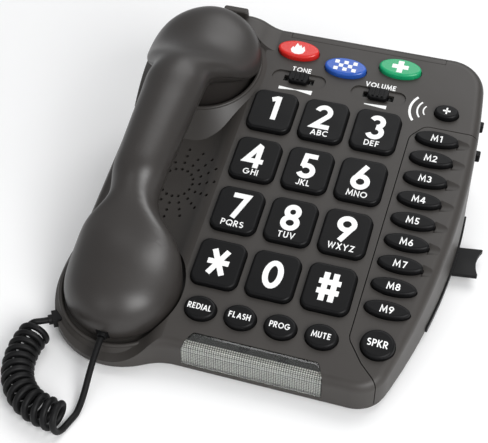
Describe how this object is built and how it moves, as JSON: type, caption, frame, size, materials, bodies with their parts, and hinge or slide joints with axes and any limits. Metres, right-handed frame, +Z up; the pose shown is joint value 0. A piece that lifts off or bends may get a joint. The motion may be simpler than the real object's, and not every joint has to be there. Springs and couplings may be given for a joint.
{
  "type": "corded big-button desk telephone",
  "caption": "Desk telephone with a tilted big-button keypad, memory and emergency keys, slide controls, an index drawer and a handset in its cradle on a curly cord.",
  "frame": {"origin": "on the table under the middle of the telephone, cord left out", "axes": "+Z up, +Y from the front edge to the back, +X from the handset to the index drawer"},
  "size_m": [0.2104, 0.2513, 0.0996],
  "materials": {
    "charcoal_plastic": "satin moulded",
    "black_plastic": "satin moulded",
    "red_plastic": "gloss moulded",
    "blue_plastic": "gloss moulded",
    "green_plastic": "gloss moulded",
    "clear_plastic": "clear polished",
    "pale_plastic": "gloss",
    "circuit_board": "matt",
    "mat_rubber": "matt",
    "foot_rubber": "matt",
    "cord_rubber": "matt",
    "screw_steel": "plain",
    "capsule_metal": "matt"
  },
  "bodies": {
    "base": {"base_upper_housing": "charcoal_plastic", "memory_side_panel": "charcoal_plastic", "base_lower_housing": "charcoal_plastic", "rear_connector_panel": "charcoal_plastic", "rubber_feet": "foot_rubber", "housing_screws": "screw_steel", "strobe_lens": "clear_plastic", "strobe_reflector": "pale_plastic", "main_circuit_board": "circuit_board", "keypad_mat": "mat_rubber", "loudspeaker": "capsule_metal", "line_socket": "black_plastic", "power_socket": "black_plastic", "cord_base_plug": "cord_rubber", "handset_cord_coil": "cord_rubber", "handset_cord_tail": "cord_rubber"},
    "handset": {"handset_back_shell": "charcoal_plastic", "handset_front_shell": "charcoal_plastic", "receiver_capsule": "capsule_metal", "microphone_capsule": "capsule_metal", "handset_screws": "screw_steel", "cord_handset_plug": "cord_rubber"},
    "key_1": {"key_1": "black_plastic"},
    "key_2": {"key_2": "black_plastic"},
    "key_3": {"key_3": "black_plastic"},
    "key_4": {"key_4": "black_plastic"},
    "key_5": {"key_5": "black_plastic"},
    "key_6": {"key_6": "black_plastic"},
    "key_7": {"key_7": "black_plastic"},
    "key_8": {"key_8": "black_plastic"},
    "key_9": {"key_9": "black_plastic"},
    "key_star": {"key_star": "black_plastic"},
    "key_0": {"key_0": "black_plastic"},
    "key_hash": {"key_hash": "black_plastic"},
    "memory_key_1": {"memory_key_1": "black_plastic"},
    "memory_key_2": {"memory_key_2": "black_plastic"},
    "memory_key_3": {"memory_key_3": "black_plastic"},
    "memory_key_4": {"memory_key_4": "black_plastic"},
    "memory_key_5": {"memory_key_5": "black_plastic"},
    "memory_key_6": {"memory_key_6": "black_plastic"},
    "memory_key_7": {"memory_key_7": "black_plastic"},
    "memory_key_8": {"memory_key_8": "black_plastic"},
    "memory_key_9": {"memory_key_9": "black_plastic"},
    "redial_key": {"redial_key": "black_plastic"},
    "flash_key": {"flash_key": "black_plastic"},
    "program_key": {"program_key": "black_plastic"},
    "mute_key": {"mute_key": "black_plastic"},
    "emergency_key_fire": {"emergency_key_fire": "red_plastic"},
    "emergency_key_police": {"emergency_key_police": "blue_plastic"},
    "emergency_key_medical": {"emergency_key_medical": "green_plastic"},
    "speaker_key": {"speaker_key": "black_plastic"},
    "boost_key": {"boost_key": "black_plastic"},
    "tone_slider": {"tone_slider": "black_plastic"},
    "volume_slider": {"volume_slider": "black_plastic"},
    "ringer_switch": {"ringer_switch": "black_plastic"},
    "ringer_tone_switch": {"ringer_tone_switch": "black_plastic"},
    "headset_switch": {"headset_switch": "black_plastic"},
    "index_drawer": {"index_drawer": "black_plastic"},
    "hook_plunger": {"hook_plunger": "black_plastic"}
  },
  "joints": [
    {"name": "key_1_press", "type": "slide", "parent": "base", "child": "key_1", "axis": [0, 0.2756, -0.9613], "range_m": [0, 0.0016], "stiffness_N_per_m": 300},
    {"name": "key_2_press", "type": "slide", "parent": "base", "child": "key_2", "axis": [0, 0.2756, -0.9613], "range_m": [0, 0.0016], "stiffness_N_per_m": 300},
    {"name": "key_3_press", "type": "slide", "parent": "base", "child": "key_3", "axis": [0, 0.2756, -0.9613], "range_m": [0, 0.0016], "stiffness_N_per_m": 300},
    {"name": "key_4_press", "type": "slide", "parent": "base", "child": "key_4", "axis": [0, 0.2756, -0.9613], "range_m": [0, 0.0016], "stiffness_N_per_m": 300},
    {"name": "key_5_press", "type": "slide", "parent": "base", "child": "key_5", "axis": [0, 0.2756, -0.9613], "range_m": [0, 0.0016], "stiffness_N_per_m": 300},
    {"name": "key_6_press", "type": "slide", "parent": "base", "child": "key_6", "axis": [0, 0.2756, -0.9613], "range_m": [0, 0.0016], "stiffness_N_per_m": 300},
    {"name": "key_7_press", "type": "slide", "parent": "base", "child": "key_7", "axis": [0, 0.2756, -0.9613], "range_m": [0, 0.0016], "stiffness_N_per_m": 300},
    {"name": "key_8_press", "type": "slide", "parent": "base", "child": "key_8", "axis": [0, 0.2756, -0.9613], "range_m": [0, 0.0016], "stiffness_N_per_m": 300},
    {"name": "key_9_press", "type": "slide", "parent": "base", "child": "key_9", "axis": [0, 0.2756, -0.9613], "range_m": [0, 0.0016], "stiffness_N_per_m": 300},
    {"name": "key_star_press", "type": "slide", "parent": "base", "child": "key_star", "axis": [0, 0.2756, -0.9613], "range_m": [0, 0.0016], "stiffness_N_per_m": 300},
    {"name": "key_0_press", "type": "slide", "parent": "base", "child": "key_0", "axis": [0, 0.2756, -0.9613], "range_m": [0, 0.0016], "stiffness_N_per_m": 300},
    {"name": "key_hash_press", "type": "slide", "parent": "base", "child": "key_hash", "axis": [0, 0.2756, -0.9613], "range_m": [0, 0.0016], "stiffness_N_per_m": 300},
    {"name": "memory_key_1_press", "type": "slide", "parent": "base", "child": "memory_key_1", "axis": [0, 0.2756, -0.9613], "range_m": [0, 0.0016], "stiffness_N_per_m": 300},
    {"name": "memory_key_2_press", "type": "slide", "parent": "base", "child": "memory_key_2", "axis": [0, 0.2756, -0.9613], "range_m": [0, 0.0016], "stiffness_N_per_m": 300},
    {"name": "memory_key_3_press", "type": "slide", "parent": "base", "child": "memory_key_3", "axis": [0, 0.2756, -0.9613], "range_m": [0, 0.0016], "stiffness_N_per_m": 300},
    {"name": "memory_key_4_press", "type": "slide", "parent": "base", "child": "memory_key_4", "axis": [0, 0.2756, -0.9613], "range_m": [0, 0.0016], "stiffness_N_per_m": 300},
    {"name": "memory_key_5_press", "type": "slide", "parent": "base", "child": "memory_key_5", "axis": [0, 0.2756, -0.9613], "range_m": [0, 0.0016], "stiffness_N_per_m": 300},
    {"name": "memory_key_6_press", "type": "slide", "parent": "base", "child": "memory_key_6", "axis": [0, 0.2756, -0.9613], "range_m": [0, 0.0016], "stiffness_N_per_m": 300},
    {"name": "memory_key_7_press", "type": "slide", "parent": "base", "child": "memory_key_7", "axis": [0, 0.2756, -0.9613], "range_m": [0, 0.0016], "stiffness_N_per_m": 300},
    {"name": "memory_key_8_press", "type": "slide", "parent": "base", "child": "memory_key_8", "axis": [0, 0.2756, -0.9613], "range_m": [0, 0.0016], "stiffness_N_per_m": 300},
    {"name": "memory_key_9_press", "type": "slide", "parent": "base", "child": "memory_key_9", "axis": [0, 0.2756, -0.9613], "range_m": [0, 0.0016], "stiffness_N_per_m": 300},
    {"name": "redial_key_press", "type": "slide", "parent": "base", "child": "redial_key", "axis": [0, 0.2756, -0.9613], "range_m": [0, 0.0016], "stiffness_N_per_m": 300},
    {"name": "flash_key_press", "type": "slide", "parent": "base", "child": "flash_key", "axis": [0, 0.2756, -0.9613], "range_m": [0, 0.0016], "stiffness_N_per_m": 300},
    {"name": "program_key_press", "type": "slide", "parent": "base", "child": "program_key", "axis": [0, 0.2756, -0.9613], "range_m": [0, 0.0016], "stiffness_N_per_m": 300},
    {"name": "mute_key_press", "type": "slide", "parent": "base", "child": "mute_key", "axis": [0, 0.2756, -0.9613], "range_m": [0, 0.0016], "stiffness_N_per_m": 300},
    {"name": "emergency_key_fire_press", "type": "slide", "parent": "base", "child": "emergency_key_fire", "axis": [0, 0.2756, -0.9613], "range_m": [0, 0.0016], "stiffness_N_per_m": 300},
    {"name": "emergency_key_police_press", "type": "slide", "parent": "base", "child": "emergency_key_police", "axis": [0, 0.2756, -0.9613], "range_m": [0, 0.0016], "stiffness_N_per_m": 300},
    {"name": "emergency_key_medical_press", "type": "slide", "parent": "base", "child": "emergency_key_medical", "axis": [0, 0.2756, -0.9613], "range_m": [0, 0.0016], "stiffness_N_per_m": 300},
    {"name": "speaker_key_press", "type": "slide", "parent": "base", "child": "speaker_key", "axis": [0, 0.2756, -0.9613], "range_m": [0, 0.0016], "stiffness_N_per_m": 300},
    {"name": "boost_key_press", "type": "slide", "parent": "base", "child": "boost_key", "axis": [0, 0.2756, -0.9613], "range_m": [0, 0.0016], "stiffness_N_per_m": 300},
    {"name": "tone_slider_move", "type": "slide", "parent": "base", "child": "tone_slider", "axis": [1, 0, 0], "range_m": [-0.006, 0.006]},
    {"name": "volume_slider_move", "type": "slide", "parent": "base", "child": "volume_slider", "axis": [1, 0, 0], "range_m": [-0.006, 0.006]},
    {"name": "ringer_switch_move", "type": "slide", "parent": "base", "child": "ringer_switch", "axis": [0, 1, 0], "range_m": [-0.003, 0.003]},
    {"name": "ringer_tone_switch_move", "type": "slide", "parent": "base", "child": "ringer_tone_switch", "axis": [0, 1, 0], "range_m": [-0.003, 0.003]},
    {"name": "headset_switch_move", "type": "slide", "parent": "base", "child": "headset_switch", "axis": [0, 1, 0], "range_m": [-0.003, 0.003]},
    {"name": "index_drawer_pull", "type": "slide", "parent": "base", "child": "index_drawer", "axis": [1, 0, 0], "range_m": [0, 0.055]},
    {"name": "handset_lift", "type": "slide", "parent": "base", "child": "handset", "axis": [0, -0.2756, 0.9613], "range_m": [0, 0.08], "deforming": ["handset_cord_tail"]},
    {"name": "hook_plunger_rise", "type": "slide", "parent": "base", "child": "hook_plunger", "axis": [0, -0.2756, 0.9613], "range_m": [0, 0.004]}
  ],
  "couplings": [
    {"joint": "hook_plunger_rise", "follows": "handset_lift", "ratio": 0.05}
  ]
}
